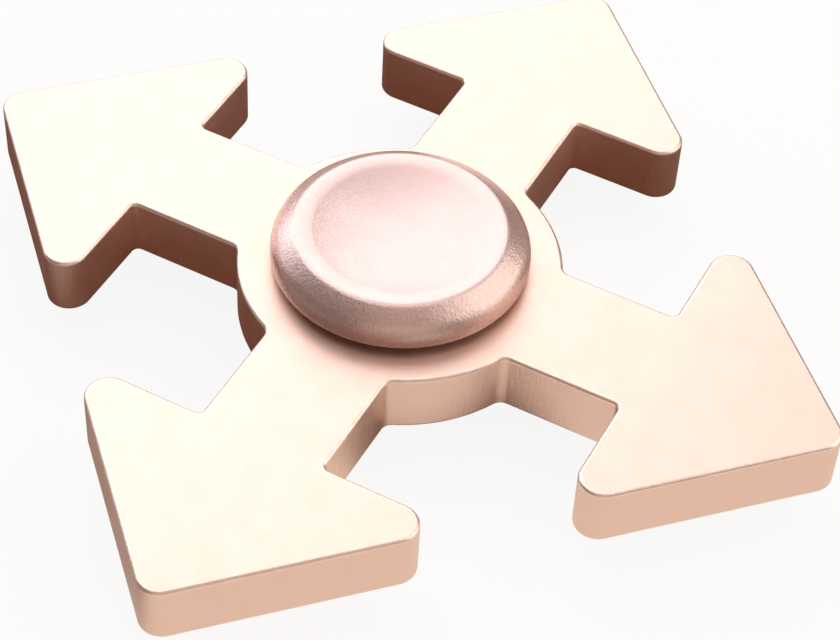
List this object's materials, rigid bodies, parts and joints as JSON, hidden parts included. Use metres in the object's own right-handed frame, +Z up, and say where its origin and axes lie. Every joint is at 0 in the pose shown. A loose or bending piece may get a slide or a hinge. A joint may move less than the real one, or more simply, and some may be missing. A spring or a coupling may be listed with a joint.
{
  "type": "fidget spinner",
  "caption": "Flat metal fidget spinner whose arms end in wide arrowheads; a round hub spins on a shielded ball bearing between dished finger caps.",
  "frame": {"origin": "centre of the lower cap's rim, where the spinner rests on a table: the middle of the bottom of its box", "axes": "+Z up along the spin axis; +X and +Y along two neighbouring arms"},
  "size_m": [0.0736, 0.0736, 0.0122],
  "materials": {
    "body_alloy": "fine bead-blasted and anodised rose gold, satin",
    "cap_alloy": "coarser bead-blasted and anodised pink rose gold, satin with a metallic sparkle",
    "bearing_steel": "ground chrome bearing steel, fine turning marks round the axis",
    "ball_steel": "polished chrome steel",
    "cage_steel": "pressed stainless strip, satin",
    "shield_steel": "pressed stainless sheet, satin with concentric marks",
    "clip_steel": "hard-drawn spring wire"
  },
  "bodies": {
    "finger_caps": {"finger_cap_top": "cap_alloy", "finger_cap_bottom": "cap_alloy", "bearing_inner_ring": "bearing_steel"},
    "rotor": {"spinner_body": "body_alloy", "bearing_outer_ring": "bearing_steel", "shield_top": "shield_steel", "shield_bottom": "shield_steel", "shield_clip_top": "clip_steel", "shield_clip_bottom": "clip_steel"},
    "ball_cage": {"bearing_cage": "cage_steel"},
    "ball_01": {"bearing_ball_01": "ball_steel"},
    "ball_02": {"bearing_ball_02": "ball_steel"},
    "ball_03": {"bearing_ball_03": "ball_steel"},
    "ball_04": {"bearing_ball_04": "ball_steel"},
    "ball_05": {"bearing_ball_05": "ball_steel"},
    "ball_06": {"bearing_ball_06": "ball_steel"},
    "ball_07": {"bearing_ball_07": "ball_steel"},
    "ball_08": {"bearing_ball_08": "ball_steel"},
    "ball_09": {"bearing_ball_09": "ball_steel"},
    "ball_10": {"bearing_ball_10": "ball_steel"}
  },
  "joints": [
    {"name": "rotor_spin", "type": "hinge", "parent": "finger_caps", "child": "rotor", "pos_m": [0, 0, 0.0061], "axis": [0, 0, 1], "continuous": true},
    {"name": "cage_orbit", "type": "hinge", "parent": "finger_caps", "child": "ball_cage", "pos_m": [0, 0, 0.0061], "axis": [0, 0, 1], "continuous": true},
    {"name": "ball_01_roll", "type": "hinge", "parent": "ball_cage", "child": "ball_01", "pos_m": [0.00476, 0, 0.0061], "axis": [0, 0, 1], "continuous": true},
    {"name": "ball_02_roll", "type": "hinge", "parent": "ball_cage", "child": "ball_02", "pos_m": [0.00385, 0.0028, 0.0061], "axis": [0, 0, 1], "continuous": true},
    {"name": "ball_03_roll", "type": "hinge", "parent": "ball_cage", "child": "ball_03", "pos_m": [0.00147, 0.00453, 0.0061], "axis": [0, 0, 1], "continuous": true},
    {"name": "ball_04_roll", "type": "hinge", "parent": "ball_cage", "child": "ball_04", "pos_m": [-0.00147, 0.00453, 0.0061], "axis": [0, 0, 1], "continuous": true},
    {"name": "ball_05_roll", "type": "hinge", "parent": "ball_cage", "child": "ball_05", "pos_m": [-0.00385, 0.0028, 0.0061], "axis": [0, 0, 1], "continuous": true},
    {"name": "ball_06_roll", "type": "hinge", "parent": "ball_cage", "child": "ball_06", "pos_m": [-0.00476, 0, 0.0061], "axis": [0, 0, 1], "continuous": true},
    {"name": "ball_07_roll", "type": "hinge", "parent": "ball_cage", "child": "ball_07", "pos_m": [-0.00385, -0.0028, 0.0061], "axis": [0, 0, 1], "continuous": true},
    {"name": "ball_08_roll", "type": "hinge", "parent": "ball_cage", "child": "ball_08", "pos_m": [-0.00147, -0.00453, 0.0061], "axis": [0, 0, 1], "continuous": true},
    {"name": "ball_09_roll", "type": "hinge", "parent": "ball_cage", "child": "ball_09", "pos_m": [0.00147, -0.00453, 0.0061], "axis": [0, 0, 1], "continuous": true},
    {"name": "ball_10_roll", "type": "hinge", "parent": "ball_cage", "child": "ball_10", "pos_m": [0.00385, -0.0028, 0.0061], "axis": [0, 0, 1], "continuous": true}
  ],
  "couplings": [
    {"joint": "cage_orbit", "follows": "rotor_spin", "ratio": 0.58333},
    {"joint": "ball_01_roll", "follows": "rotor_spin", "ratio": 2.9167},
    {"joint": "ball_02_roll", "follows": "rotor_spin", "ratio": 2.9167},
    {"joint": "ball_03_roll", "follows": "rotor_spin", "ratio": 2.9167},
    {"joint": "ball_04_roll", "follows": "rotor_spin", "ratio": 2.9167},
    {"joint": "ball_05_roll", "follows": "rotor_spin", "ratio": 2.9167},
    {"joint": "ball_06_roll", "follows": "rotor_spin", "ratio": 2.9167},
    {"joint": "ball_07_roll", "follows": "rotor_spin", "ratio": 2.9167},
    {"joint": "ball_08_roll", "follows": "rotor_spin", "ratio": 2.9167},
    {"joint": "ball_09_roll", "follows": "rotor_spin", "ratio": 2.9167},
    {"joint": "ball_10_roll", "follows": "rotor_spin", "ratio": 2.9167}
  ]
}
